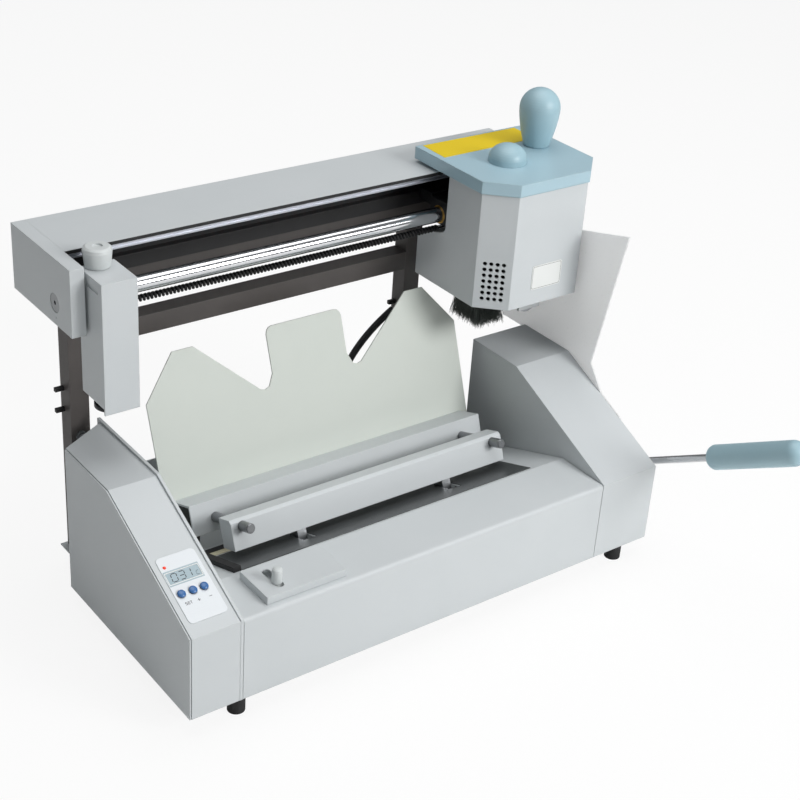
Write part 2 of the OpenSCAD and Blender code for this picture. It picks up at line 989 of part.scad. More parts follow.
// A domed push button: a stem through the sticker and the cover, with a collar under the cover.
module button(x) {
    r = button_d / 2;
    color(blue)
    placed()
    slope_at()
    translate([x, 43.6, 0])
    union() {
        rotate_extrude($fn = 64)
        polygon(concat([[0, 1.5], [r, 1.5], [r, 2]],
            [for (i = [1:8]) [r * cos(i * 11.25), 2 + 1.6 * sin(i * 11.25)]]));
        translate([0, 0, -7.5])
        cylinder(h = 9, r = 1.9, $fn = 48);
        translate([0, 0, -4.4])
        cylinder(h = 1.4, r = r + 0.2, $fn = 48);
    }
}

module button_set() {
    button(14.1);
}

module button_plus() {
    button(25.6);
}

module button_minus() {
    button(36.8);
}

// Stop knob that slides along the slot of the raised plate.
module stop_knob() {
    color([0.82, 0.84, 0.85])
    placed()
    union() {
        translate([slot_x, 24, 98.3])
        rotate_extrude($fn = 64)
        polygon([[0, 0], [5, 0], [5, 12], [4.4, 14], [3, 15], [0, 15.4]]);
        rod_z_(slot_x, 24, 3.4, 93, 98.4);
        rod_z_(slot_x, 24, 5.5, 92.6, 96.2);
    }
}

base_pan();
base_cover();
feet();
control_cover();
left_panel();
inner_plate();
keypad();
lcd_window();
led_lamp();
display_board();
power_board();
power_inlet();
right_cover();
right_guard();
columns();
cross_bar();
upper_tube();
beam_cover();
beam_caps();
slide_rail();
guide_rod();
cord_wire();
frame_bolts();
cable_clips();
loom();
rear_jaw();
jaw_legs();
crown_plate();
jaw_shafts();
deck_plate();
seal_bar();
bearings();
panel_screws();
torque_shaft();
pinions();
lever_rod();
lever_grip();
front_jaw();
racks();
head_housing();
head_plate();
ball_handle();
head_block();
head_bush();
glue_tank();
heaters();
brush();
curly_cord();
filler_dome();
glue_roller();
cutter_body();
cutter_block();
cutter_bush();
cutter_disc();
cutter_knob();
button_set();
button_plus();
button_minus();
stop_knob();
power_rocker();
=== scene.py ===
"""Looks of a desktop perfect binding machine: powder coated steel, chrome rods, moulded grips.

Lengths in this file are machine millimetres (x from the left side, y back from the front of the
base, z up from its floor) until place() turns them into metres in the shared frame.
"""
import math

import bpy
import numpy as np
from mathutils import Matrix


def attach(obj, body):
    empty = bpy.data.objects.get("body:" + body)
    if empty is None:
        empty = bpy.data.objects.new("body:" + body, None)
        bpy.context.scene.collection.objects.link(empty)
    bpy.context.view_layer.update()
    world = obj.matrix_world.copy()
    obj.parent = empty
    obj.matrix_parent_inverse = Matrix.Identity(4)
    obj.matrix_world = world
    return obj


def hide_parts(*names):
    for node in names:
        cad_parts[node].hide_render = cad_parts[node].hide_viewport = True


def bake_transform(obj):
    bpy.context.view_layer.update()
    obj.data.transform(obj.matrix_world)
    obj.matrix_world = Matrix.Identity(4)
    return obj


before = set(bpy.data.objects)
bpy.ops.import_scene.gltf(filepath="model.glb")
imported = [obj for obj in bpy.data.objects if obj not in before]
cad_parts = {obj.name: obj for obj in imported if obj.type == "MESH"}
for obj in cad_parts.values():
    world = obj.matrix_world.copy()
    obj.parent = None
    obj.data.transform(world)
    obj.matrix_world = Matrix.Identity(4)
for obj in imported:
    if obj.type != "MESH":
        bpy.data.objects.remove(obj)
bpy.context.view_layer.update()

# The clamp lever at rest: its hub, its rod, its round ended grip and its angle from level.
HUB_Y = 95
ROD_LENGTH = 179
GRIP_LENGTH = 121
GRIP_RADIUS = 13
LEVER_REST = math.radians(30)
GRIP_TIP_Y = HUB_Y - (ROD_LENGTH + GRIP_LENGTH - GRIP_RADIUS) * math.cos(LEVER_REST) - GRIP_RADIUS

# The whole machine, whose middle is the shared frame's origin on the floor.
WIDTH_WITH_LEVER = 584.3
BACK_Y = 327
FOOT_HEIGHT = 20.0
SHIFT = np.array([-WIDTH_WITH_LEVER / 2, -(GRIP_TIP_Y + BACK_Y) / 2, FOOT_HEIGHT])

# The control face: its foot's height and its slope.
FACE_FOOT_Z = 90
FACE = math.atan2(69, 150)

# The clamp: the point on the rear jaw's face that its directions start from, and its lean.
CLAMP_Y = 161.5
CLAMP_Z = 104.8
LEAN = math.radians(20)

# The camera: eye in machine millimetres, angles in degrees, focal length in pixels of the picture.
EYE = (-538.64, -947.23, 942.21)
AZIMUTH, ELEVATION, ROLL = -38.31, 29.21, 4.10
FOCAL_PX = 1586.2
PICTURE_PX = 800
SENSOR_MM = 36

# Where the lamps are aimed, in metres.
LIGHT_AIM = (0, 0, 0.2)


def place(points):
    """Machine millimetres to metres in the shared frame: add the shift, then divide by 1000."""
    return (np.asarray(points, float) + SHIFT) / 1000


def on_slope(points):
    """Points (x, s, n) on the control face: s runs up the slope from its lower edge, n stands out of it."""
    p = np.asarray(points, float)
    s, n = p[..., 1], p[..., 2]
    return np.stack([p[..., 0], s * math.cos(FACE) - n * math.sin(FACE),
                     FACE_FOOT_Z + s * math.sin(FACE) + n * math.cos(FACE)], -1)


def on_clamp(points):
    """Points (x, a, b) in the leaning clamp: a runs back along the shafts, b up the jaw faces."""
    p = np.asarray(points, float)
    a, b = p[..., 1], p[..., 2]
    return np.stack([p[..., 0], CLAMP_Y + a * math.cos(LEAN) + b * math.sin(LEAN),
                     CLAMP_Z - a * math.sin(LEAN) + b * math.cos(LEAN)], -1)


# ---------------------------------------------------------------- camera and lights

def make_camera():
    """Long lens seen from the front left and above; the three angles are azimuth, elevation, roll."""
    az, el, roll = np.radians([AZIMUTH, ELEVATION, ROLL])
    ahead = np.array([-math.sin(az) * math.cos(el), math.cos(az) * math.cos(el), -math.sin(el)])
    right = np.array([math.cos(az), math.sin(az), 0])
    up = np.cross(right, ahead)
    rolled_right = math.cos(roll) * right + math.sin(roll) * up
    rolled_up = -math.sin(roll) * right + math.cos(roll) * up
    data = bpy.data.cameras.new("camera")
    data.sensor_width = SENSOR_MM
    data.lens = FOCAL_PX / PICTURE_PX * SENSOR_MM
    data.clip_start, data.clip_end = 0.05, 60
    cam = bpy.data.objects.new("camera", data)
    turn = Matrix(np.column_stack([rolled_right, rolled_up, -ahead]).tolist()).to_4x4()
    turn.translation = place(EYE)
    cam.matrix_world = turn
    bpy.context.collection.objects.link(cam)
    bpy.context.scene.camera = cam


def area_light(name, where, size, watts):
    """A round white lamp, size metres across, at a place in metres and aimed at the machine's middle."""
    data = bpy.data.lights.new(name, "AREA")
    data.shape = "DISK"
    data.size = size
    data.energy = watts
    lamp = bpy.data.objects.new(name, data)
    back = np.array(where, float) - np.array(LIGHT_AIM, float)
    back /= np.linalg.norm(back)
    side = np.cross([0, 0, 1.0], back)
    side /= np.linalg.norm(side)
    turn = Matrix(np.column_stack([side, np.cross(back, side), back]).tolist()).to_4x4()
    turn.translation = where
    lamp.matrix_world = turn
    bpy.context.collection.objects.link(lamp)


def srgb(code):
    """sRGB hex to linear: c/12.92 below 0.04045, else ((c+0.055)/1.055) to the power 2.4."""
    c = np.array([int(code[i:i + 2], 16) for i in (1, 3, 5)]) / 255
    lin = np.where(c <= 0.04045, c / 12.92, ((c + 0.055) / 1.055) ** 2.4)
    return (*lin.tolist(), 1.0)


def node(tree, kind, links=None, **settings):
    """Add a node: settings go to its properties or, when named like a socket, to that socket."""
    n = tree.nodes.new(kind)
    for key, value in settings.items():
        if hasattr(n, key):
            setattr(n, key, value)
        else:
            n.inputs[key.replace("_", " ")].default_value = value
    for key, source in (links or {}).items():
        tree.links.new(source, n.inputs[key])
    return n


# ---------------------------------------------------------------- materials

COAT_ROUGHNESS = 0.2

# Painted highlight on rounded edges: the lighter edge colour sets in where the rounded and the flat
# normal's dot product falls below the first value, and reaches its share at the second.
EDGE_HIGHLIGHT_STARTS = 0.995
EDGE_HIGHLIGHT_FULL = 0.90
EDGE_HIGHLIGHT_SHARE = 0.35

# Braid: turn of each family of threads in radians, and the depth between threads in metres.
BRAID_TURN = 0.8
BRAID_DEPTH = 0.0004


def finish_of(name, base, second=None, rough=0.45, metallic=0.0, grain_mm=0.5, bump=0.05, blotch_mm=60.0,
              edge=None, edge_mm=0.7, stretch=None, coat=0.0, spec=0.5, rough_swing=0.08, bump_mm=0.05):
    """A painted, moulded or metal surface.

    Colour swings softly between base and second over blotch_mm; a fine grain of grain_mm lifts the
    surface by bump_mm and makes it duller or glossier by rough_swing; edges are rounded to edge_mm for the
    shading and take some of the lighter edge colour as a painted highlight; stretch draws the grain out along
    an axis.
    """
    mat = bpy.data.materials.new(name)
    mat.use_nodes = True
    t = mat.node_tree
    t.nodes.clear()
    out = node(t, "ShaderNodeOutputMaterial")
    shader = node(t, "ShaderNodeBsdfPrincipled", Metallic=metallic)
    shader.inputs["Coat Weight"].default_value = coat
    shader.inputs["Coat Roughness"].default_value = COAT_ROUGHNESS
    shader.inputs["Specular IOR Level"].default_value = spec
    t.links.new(shader.outputs[0], out.inputs[0])
    at = node(t, "ShaderNodeTexCoord")
    where = node(t, "ShaderNodeMapping", {"Vector": at.outputs["Object"]})
    if stretch:
        where.inputs["Scale"].default_value = stretch
    blotch = node(t, "ShaderNodeTexNoise", {"Vector": at.outputs["Object"]}, Scale=1000 / blotch_mm,
                  Detail=3.0, Roughness=0.55)
    tone = node(t, "ShaderNodeMix", {"Factor": blotch.outputs[0]}, data_type="RGBA")
    tone.inputs[6].default_value = srgb(base)
    tone.inputs[7].default_value = srgb(second or base)
    colour = tone.outputs[2]
    # Painted highlight: the lighter edge colour is mixed in on rounded edges.
    if edge:
        soft = node(t, "ShaderNodeBevel", samples=4)
        soft.inputs["Radius"].default_value = edge_mm / 1000
        geo = node(t, "ShaderNodeNewGeometry")
        dot = node(t, "ShaderNodeVectorMath", {0: soft.outputs[0], 1: geo.outputs["Normal"]},
                   operation="DOT_PRODUCT")
        near = node(t, "ShaderNodeMapRange", {"Value": dot.outputs["Value"]})
        near.inputs["From Min"].default_value = EDGE_HIGHLIGHT_STARTS
        near.inputs["From Max"].default_value = EDGE_HIGHLIGHT_FULL
        near.inputs["To Max"].default_value = EDGE_HIGHLIGHT_SHARE
        rim = node(t, "ShaderNodeMix", {"Factor": near.outputs[0], 6: colour}, data_type="RGBA")
        rim.inputs[7].default_value = srgb(edge)
        colour = rim.outputs[2]
    t.links.new(colour, shader.inputs["Base Color"])
    grain = node(t, "ShaderNodeTexNoise", {"Vector": where.outputs[0]}, Scale=1000 / grain_mm, Detail=2.0)
    gloss = node(t, "ShaderNodeMapRange", {"Value": grain.outputs[0]})
    gloss.inputs["To Min"].default_value = max(0.02, rough - rough_swing)
    gloss.inputs["To Max"].default_value = min(1.0, rough + rough_swing)
    t.links.new(gloss.outputs[0], shader.inputs["Roughness"])
    rise = node(t, "ShaderNodeBump", {"Height": grain.outputs[0]}, Strength=bump)
    rise.inputs["Distance"].default_value = bump_mm / 1000
    round_edge = node(t, "ShaderNodeBevel", samples=4)
    round_edge.inputs["Radius"].default_value = edge_mm / 1000
    t.links.new(round_edge.outputs[0], rise.inputs["Normal"])
    t.links.new(rise.outputs[0], shader.inputs["Normal"])
    return mat


def braid_finish():
    """Braided nylon sleeve: two families of threads crossing round the tube, laid out on its UV map."""
    mat = bpy.data.materials.new("nylon_braid_sleeve")
    mat.use_nodes = True
    t = mat.node_tree
    shader = t.nodes["Principled BSDF"]
    shader.inputs["Roughness"].default_value = 0.6
    at = node(t, "ShaderNodeTexCoord")
    waves = []
    for turn in (BRAID_TURN, -BRAID_TURN):
        m = node(t, "ShaderNodeMapping", {"Vector": at.outputs["UV"]})
        m.inputs["Rotation"].default_value = (0, 0, turn)
        waves.append(node(t, "ShaderNodeTexWave", {"Vector": m.outputs[0]}, Scale=9.0, Distortion=0.4))
    both = node(t, "ShaderNodeMath", {0: waves[0].outputs[1], 1: waves[1].outputs[1]}, operation="MAXIMUM")
    tone = node(t, "ShaderNodeMix", {"Factor": both.outputs[0]}, data_type="RGBA")
    tone.inputs[6].default_value = srgb("#141416")
    tone.inputs[7].default_value = srgb("#3B3B3E")
    t.links.new(tone.outputs[2], shader.inputs["Base Color"])
    rise = node(t, "ShaderNodeBump", {"Height": both.outputs[0]}, Strength=0.6)
    rise.inputs["Distance"].default_value = BRAID_DEPTH
    t.links.new(rise.outputs[0], shader.inputs["Normal"])
    return mat


def shader_of(mat):
    """The one Principled shader of a finish."""
    return [n for n in mat.node_tree.nodes if n.type == "BSDF_PRINCIPLED"][0]


def glow_finish(name, colour, light, strength):
    """A lit window or lamp lens: a glossy face with a little light of its own."""
    mat = finish_of(name, colour, rough=0.25, grain_mm=1.0, bump=0.02, edge_mm=0.3)
    shader = shader_of(mat)
    shader.inputs["Emission Color"].default_value = srgb(light)
    shader.inputs["Emission Strength"].default_value = strength
    return mat


def opal_finish(name, colour, depth_mm):
    """Opal acrylic sheet: light sinks in about depth_mm and leaves softly on the other side."""
    mat = finish_of(name, colour, rough=0.3, grain_mm=2.0, bump=0.02, edge_mm=0.4)
    shader = shader_of(mat)
    shader.inputs["Subsurface Weight"].default_value = 1.0
    shader.inputs["Subsurface Radius"].default_value = (1, 1, 1)
    shader.inputs["Subsurface Scale"].default_value = depth_mm / 1000
    return mat


FINISH = {
    # Polyester powder coat on bent sheet steel: satin, with a fine orange peel of about 0.9 mm.
    "powder_coat": finish_of("powder_coat_pale_grey", "#C7CCCE", "#CDD1D3", rough=0.42, grain_mm=0.9,
                             bump=0.16, edge="#DDE1E0", edge_mm=0.9, bump_mm=0.04),
    # The same coat seen on the crown plate, a shade greener.
    "powder_plate": finish_of("powder_coat_pale_green_grey", "#C9CFC8", "#CFD4CD", rough=0.45, grain_mm=0.9,
                              bump=0.14, edge="#E4E7E2", edge_mm=0.5),
    # Warm dark grey powder coat on welded square tube: rougher, slightly mottled.
    "powder_dark": finish_of("powder_coat_dark_warm_grey", "#4C4846", "#575250", rough=0.5, grain_mm=1.1,
                             bump=0.2, edge="#7B7673", blotch_mm=35),
    # Black coat on the rail profile, the cable clips and the wire in the curly cord.
    "powder_black": finish_of("powder_coat_black", "#1D1C1D", "#272627", rough=0.5, grain_mm=1.1,
                              bump=0.2, edge="#3A393A"),
    # Blue grey enamel on the thick head plate: smoother and a little glossier than powder coat.
    "enamel_blue": finish_of("enamel_blue_grey", "#A4C1CD", "#ABC7D2", rough=0.33, grain_mm=2.2,
                             bump=0.08, edge="#C3D5DA", edge_mm=1.6, coat=0.2),
    # Moulded ABS, blue grey, with the fine spark grain of the mould.
    "abs_blue": finish_of("moulded_abs_blue_grey", "#9DBCC7", "#A5C3CD", rough=0.4, grain_mm=0.5,
                          bump=0.12, edge="#B9CFD6", edge_mm=1.0),
    # The same moulded plastic in pale grey, on the small knobs.
    "abs_grey": finish_of("moulded_abs_pale_grey", "#CBD0D0", "#D2D6D6", rough=0.38, grain_mm=0.5,
                          bump=0.1, edge="#E2E5E5", edge_mm=0.6),
    # Hard chrome on ground rod: near mirror with faint polishing rings round the axis.
    "chrome_rod": finish_of("hard_chrome_ground_rod", "#D5D6D8", "#CFD0D3", rough=0.13, metallic=1.0,
                            grain_mm=0.4, bump=0.03, edge_mm=0.4, stretch=(8, 1, 1), rough_swing=0.05),
    # Centreless ground steel, oiled: darker and duller than the chrome.
    "ground_steel": finish_of("ground_steel_shaft", "#8C8E90", "#7F8183", rough=0.3, metallic=1.0,
                              grain_mm=0.4, bump=0.05, edge="#B5B7B9", edge_mm=0.4, stretch=(8, 1, 1)),
    # Turned and milled steel: short fine lines and a soft sheen.
    "turned_steel": finish_of("turned_steel", "#A4A6A8", "#94979A", rough=0.34, metallic=1.0, grain_mm=0.6,
                              bump=0.1, edge="#C7C9CB", edge_mm=0.4, stretch=(1, 1, 6)),
    # Milled aluminium: pale, with tool lines along x.
    "milled_aluminium": finish_of("milled_aluminium", "#BFC2C3", "#B3B6B8", rough=0.36, metallic=1.0,
                                  grain_mm=1.2, bump=0.12, edge="#DADCDD", edge_mm=0.5, stretch=(0.2, 4, 4)),
    # Zinc plated pressed steel: pale, satin, with faint draw lines along x.
    "zinc_plate": finish_of("zinc_plated_steel", "#BFC1C8", "#B1B4BC", rough=0.38, metallic=0.9, grain_mm=1.0,
                            bump=0.1, edge="#D5D7DC", edge_mm=0.3, stretch=(0.2, 3, 3)),
    # Black anodised aluminium blocks that ride the rod.
    "black_anodised": finish_of("black_anodised_aluminium", "#242527", "#2D2E30", rough=0.42, metallic=0.6,
                                grain_mm=1.0, bump=0.08, edge="#4A4B4D", edge_mm=0.4),
    # Turned brass of bushes and cover screws.
    "turned_brass": finish_of("turned_brass", "#B8924A", "#A98443", rough=0.32, metallic=1.0, grain_mm=0.5,
                              bump=0.08, edge="#D6B673", edge_mm=0.3),
    # Hardened steel of the cutting disc, black from its oxide bath.
    "black_oxide": finish_of("black_oxide_steel", "#2E2F31", "#3A3B3D", rough=0.38, metallic=1.0,
                             grain_mm=0.7, bump=0.08, edge="#5A5B5D", edge_mm=0.3),
    # Moulded nitrile rubber: matt, with a dusty bloom.
    "rubber": finish_of("moulded_black_rubber", "#1B1B1C", "#2A2A2B", rough=0.75, grain_mm=0.8, bump=0.2,
                        blotch_mm=12, edge="#3A3A3B", edge_mm=0.6),
    # Black moulded plastic with the same spark grain.
    "black_abs": finish_of("moulded_black_abs", "#1A1A1B", "#212122", rough=0.4, grain_mm=0.5, bump=0.12,
                           edge="#38383A", edge_mm=0.4),
    # Overlay of pale polyester film, finely brushed along x.
    "silver_film": finish_of("silver_polyester_film", "#DADFE3", "#E2E6E9", rough=0.3, grain_mm=0.8,
                             bump=0.03, edge="#E8EBEE", edge_mm=0.3, stretch=(0.2, 3, 3), coat=0.3),
    # Glossy moulded push buttons.
    "button_blue": finish_of("moulded_blue_button", "#33659F", "#396CA8", rough=0.28, grain_mm=0.6,
                             bump=0.04, edge_mm=0.4, coat=0.4),
    # Green solder mask on glass fibre board.
    "circuit_board": finish_of("solder_mask_green", "#1F5A38", "#2B6A45", rough=0.35, grain_mm=1.5,
                               bump=0.1, blotch_mm=6, edge_mm=0.3),
    # Dark grey sheet laid on the slope: satin, faintly streaked.
    "slope_dark_sheet": finish_of("dark_grey_slope_sheet", "#4B4E4F", "#5A5D5E", rough=0.35, metallic=0.4,
                             grain_mm=1.5, bump=0.08, edge="#7A7D7E", edge_mm=0.3, blotch_mm=25),
    # Cream felt, matt and fibrous.
    "cream_strip": finish_of("cream_felt_strip", "#CFC9AE", "#C2BCA0", rough=0.8, grain_mm=0.9, bump=0.3,
                             edge_mm=0.2),
    # Vinyl label films: smooth, with a soft sheen.
    "yellow_film": finish_of("yellow_vinyl_film", "#EDCF12", "#E8C90C", rough=0.35, grain_mm=2.0, bump=0.03,
                             edge_mm=0.2),
    "white_film": finish_of("white_vinyl_film", "#E9EAE8", "#E2E4E2", rough=0.35, grain_mm=2.0, bump=0.03,
                            edge_mm=0.2),
    # Grey blue border printed under the overlay.
    "tinted_film": finish_of("tinted_border_film", "#A3B6BE", "#A9BCC3", rough=0.3, grain_mm=1.0, bump=0.02,
                             edge_mm=0.2),
    # Soft PVC of the curly cord: dead black with a slight sheen.
    "cord_pvc": finish_of("black_pvc_cord", "#0D0D0F", "#131315", rough=0.5, grain_mm=0.8, bump=0.1,
                          blotch_mm=12, edge_mm=0.2, spec=0.35),
    # Screen printing ink.
    "print_ink": finish_of("black_print_ink", "#26282C", "#2C2E33", rough=0.5, grain_mm=1.0, bump=0.02,
                           edge_mm=0.1),
    # Nylon bristles, some paler than others.
    "bristle": finish_of("black_nylon_bristle", "#2A2E2C", "#4A514C", rough=0.4, grain_mm=3.0, bump=0.02,
                         blotch_mm=7, edge_mm=0.1),
    # Dead black matt sheet behind the vent holes: painted shade for the dark inside of the housing.
    "shade_black_sheet": finish_of("painted_shade_black", "#0C0C0C", "#121212", rough=0.95, grain_mm=0.6, bump=0.4,
                            edge_mm=0.2, spec=0.1),
    # The tall guard at the right end: a white panel, its colour pushed to near pure white as painted light.
    "opal_painted_light": opal_finish("opal_acrylic_sheet", "#FBFCFD", 6.0),
    "braid": braid_finish(),
    # Liquid crystal window with a weak light behind it, and the lamp over it.
    "display": glow_finish("backlit_display", "#9FB2BA", "#C8D6E4", 0.03),
    "lamp_red": glow_finish("red_lamp_lens", "#C23A2A", "#FF4A2E", 0.5),
}

FINISH_OF_NODE = {
    "powder_coat": "base_pan base_cover control_cover left_panel inner_plate right_cover beam_cover "
                   "beam_caps rear_jaw deck_plate head_housing cutter_body front_jaw",
    "powder_plate": "crown_plate",
    "opal_painted_light": "right_guard",
    "powder_dark": "columns cross_bar upper_tube jaw_legs",
    "powder_black": "slide_rail cable_clips cord_wire",
    "enamel_blue": "head_plate",
    "abs_blue": "ball_handle filler_dome lever_grip",
    "abs_grey": "cutter_knob stop_knob",
    "chrome_rod": "guide_rod lever_rod heaters",
    "ground_steel": "jaw_shafts",
    "turned_steel": "torque_shaft pinions racks glue_roller frame_bolts",
    "milled_aluminium": "bearings glue_tank",
    "black_anodised": "head_block cutter_block",
    "turned_brass": "head_bush cutter_bush panel_screws",
    "black_oxide": "cutter_disc",
    "rubber": "feet seal_bar loom curly_cord brush",
    "black_abs": "power_inlet power_rocker",
    "silver_film": "keypad",
    "button_blue": "button_set button_plus button_minus",
    "circuit_board": "display_board power_board",
    "display": "lcd_window",
    "lamp_red": "led_lamp",
}


def dress_nodes():
    """Give every CAD node its finish."""
    for finish, names in FINISH_OF_NODE.items():
        for name in names.split():
            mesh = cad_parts[name]
            for s in mesh.material_slots:
                s.material = FINISH[finish]
            if not mesh.material_slots:
                mesh.data.materials.append(FINISH[finish])


# ---------------------------------------------------------------- surfaces

# Direction that no tube's path follows.
OFF_PATH = (0.31, 0.2, 0.93)


def piece(name, verts, faces, finish, body, smooth=True, uv=None):
    """A mesh object at the origin, with its place in its vertices, that rides on a body."""
    me = bpy.data.meshes.new(name)
    me.from_pydata(place(verts).tolist(), [], [list(map(int, f)) for f in faces])
    if uv is not None:
        layer = me.uv_layers.new(name="UVMap")
        loops = np.zeros(len(me.loops), np.int32)
        me.loops.foreach_get("vertex_index", loops)
        layer.data.foreach_set("uv", np.asarray(uv, np.float32)[loops].ravel())
    me.polygons.foreach_set("use_smooth", np.full(len(me.polygons), smooth))
    me.validate()
    ob = bpy.data.objects.new(name, me)
    bpy.context.collection.objects.link(ob)
    me.materials.append(FINISH[finish])
    if body:
        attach(ob, body)
    return ob


def grid_faces(rows, cols):
    """Quads of a rows by cols grid whose columns wrap round."""
    i = np.arange(rows - 1)[:, None]
    j = np.arange(cols)[None, :]
    k = (j + 1) % cols
    return np.stack([i * cols + j, i * cols + k, (i + 1) * cols + k, (i + 1) * cols + j], -1).reshape(-1, 4)


def tube(path, radius, sides):
    """A round tube: at each path point a circle of the radius, in the plane across the path.

    The circle's first direction is the path's direction crossed with a fixed vector that no path follows.
    """
    path = np.asarray(path, float)
    along = np.gradient(path, axis=0)
    along /= np.linalg.norm(along, axis=1)[:, None]
    first = np.cross(along, OFF_PATH)
    first /= np.linalg.norm(first, axis=1)[:, None]
    second = np.cross(along, first)
    q = np.linspace(0, 2 * np.pi, sides, endpoint=False)
    ring = first[:, None] * np.cos(q)[None, :, None] + second[:, None] * np.sin(q)[None, :, None]
    verts = (path[:, None] + radius * ring).reshape(-1, 3)
    faces = grid_faces(len(path), sides).tolist()
    last = (len(path) - 1) * sides
    faces += [list(range(sides))[::-1], list(range(last, last + sides))]
    return verts, faces


def slab(outline, low, high):
    """A flat slab: an outline of (x, y) points carried from n = low to n = high and capped."""
    o = np.asarray(outline, float)
    n = len(o)
    verts = np.concatenate([np.column_stack([o, np.full(n, low)]), np.column_stack([o, np.full(n, high)])])
    faces = grid_faces(2, n).tolist() + [list(range(n))[::-1], list(range(n, 2 * n))]
    return verts, faces


def along_x(outline, x0, x1):
    """A bar along x: an outline of (y, z) points carried from x0 to x1 and capped."""
    verts, faces = slab(outline, x0, x1)
    return verts[:, [2, 0, 1]], faces


def bar(x0, x1, y0, y1):
    """Outline of a plain rectangle."""
    return np.array([(x0, y0), (x1, y0), (x1, y1), (x0, y1)])


def rounded(x0, x1, y0, y1, r, steps=8):
    """Outline of a rectangle whose corners are quarter circles of radius r."""
    q = np.linspace(0, np.pi / 2, steps)
    arcs = []
    for k, (cx, cy) in enumerate([(x1 - r, y1 - r), (x0 + r, y1 - r), (x0 + r, y0 + r), (x1 - r, y0 + r)]):
        a = q + k * np.pi / 2
        arcs.append(np.column_stack([cx + r * np.cos(a), cy + r * np.sin(a)]))
    return np.concatenate(arcs)


def ring_slab(outer, inner, low, high):
    """A flat frame between two outlines of equal count: a closed profile of four corners round them."""
    n = len(outer)
    corners = ((outer, low), (outer, high), (inner, high), (inner, low))
    verts = np.concatenate([np.column_stack([c, np.full(n, z)]) for c, z in corners])
    return verts, (grid_faces(5, n) % (4 * n)).tolist()


def gather(parts):
    """Several (verts, faces) meshes as one."""
    verts, faces, count = [], [], 0
    for v, f in parts:
        faces += [[i + count for i in q] for q in f]
        count += len(v)
        verts.append(v)
    return np.concatenate(verts), faces


# ---------------------------------------------------------------- pieces

# The curly cord on its wire, with the glue head parked at the right.
CURLS = 88
CORD_X0 = 80.0
CORD_X1 = 433.0
CORD_Y = 238.0
CORD_Z = 294.5
CURL_RADIUS = 2.2
CORD_RADIUS = 1.45
CORD_INSET = 1.2


def curly_cord():
    """Helix: x grows evenly, y and z turn on a circle of CURL_RADIUS; the tube has CORD_RADIUS."""
    t = np.linspace(0, CURLS, CURLS * 20 + 1)
    x = CORD_X0 + CORD_INSET + (CORD_X1 - CORD_X0 - 2 * CORD_INSET) * t / CURLS
    turn = t * 2 * np.pi
    path = np.column_stack([x, CORD_Y + CURL_RADIUS * np.cos(turn), CORD_Z + CURL_RADIUS * np.sin(turn)])
    verts, faces = tube(path, CORD_RADIUS, 8)
    ob = piece("curly_cord_wound", verts, faces, "cord_pvc", None)
    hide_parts("curly_cord")
    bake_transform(ob)


# Cable loom behind the crown plate.
LOOM_TOP_X = 420
LOOM_SWING = 75
LOOM_Y = 291.0
LOOM_TOP_Z = 180
LOOM_DROP = 178.2
LOOM_RADIUS = 3.8


def loom_sleeve():
    """Sleeve from the column to the floor: x falls by LOOM_SWING (1 - (1 - u)^4), z falls evenly."""
    steps, sides = 60, 20
    u = np.linspace(0, 1, steps)
    x = LOOM_TOP_X - LOOM_SWING * (1 - (1 - u) ** 4)
    path = np.column_stack([x, np.full(steps, LOOM_Y), LOOM_TOP_Z - LOOM_DROP * u])
    verts, faces = tube(path, LOOM_RADIUS, sides)
    uv = np.column_stack([np.tile(np.arange(sides) / sides * 2.4, steps), np.repeat(u * 18, sides)])
    ob = piece("loom_sleeve", verts, faces, "braid", "frame", uv=uv)
    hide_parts("loom")


# Bristles: where the rows start and end along x and y, and how many there are each way; the top of
# each, its length, how far its middle hangs, and how far it leans.
BRISTLE_X = (441.4, 472.6, 46)
BRISTLE_Y = (173.4, 212.6, 58)
BRISTLE_TOP = 237.0
BRISTLE_LENGTH = 33.0
BRISTLE_MIDDLE = 17.0
BRISTLE_LEAN = 2.2
BRUSH_MIDDLE = (457, 193)


def brush_bristles():
    """Rows of bristles: each a three sided needle from the backing, leaning by a seeded random angle."""
    rng = np.random.default_rng(7)
    gx, gy = np.meshgrid(np.linspace(*BRISTLE_X), np.linspace(*BRISTLE_Y), indexing="ij")
    n = gx.size
    root = np.column_stack([gx.ravel(), gy.ravel(), np.full(n, BRISTLE_TOP)])
    root += rng.uniform(-0.3, 0.3, (n, 3)) * [1, 1, 0]
    lean = rng.normal(0, BRISTLE_LEAN, (n, 2)) + (root[:, :2] - BRUSH_MIDDLE) * 0.1
    mid = root + np.column_stack([lean * 0.35, np.full(n, -BRISTLE_MIDDLE)])
    tip = root + np.column_stack([lean, np.full(n, -BRISTLE_LENGTH) + rng.uniform(-1.0, 5.0, n)])
    q = np.arange(3) * 2 * np.pi / 3
    ring = np.column_stack([np.cos(q), np.sin(q), np.zeros(3)])
    parts = [p[:, None] + r * ring[None] for p, r in ((root, 0.28), (mid, 0.26), (tip, 0.12))]
    verts = np.concatenate(parts, 1).reshape(-1, 3)
    k = np.arange(n)[:, None, None] * 9
    sides = np.array([[0, 1, 4, 3], [1, 2, 5, 4], [2, 0, 3, 5], [3, 4, 7, 6], [4, 5, 8, 7], [5, 3, 6, 8]])
    faces = (k + sides[None, :, ::-1]).reshape(-1, 4).tolist() + (k[:, 0] + [[6, 7, 8]]).tolist()
    ob = piece("brush_bristles", verts, faces, "bristle", "glue_head", smooth=False)
    verts, faces = slab(rounded(440, 474, 172, 214, 2), 236, 244)
    piece("brush_backing", verts, faces, "black_abs", "glue_head", smooth=False)
    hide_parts("brush")


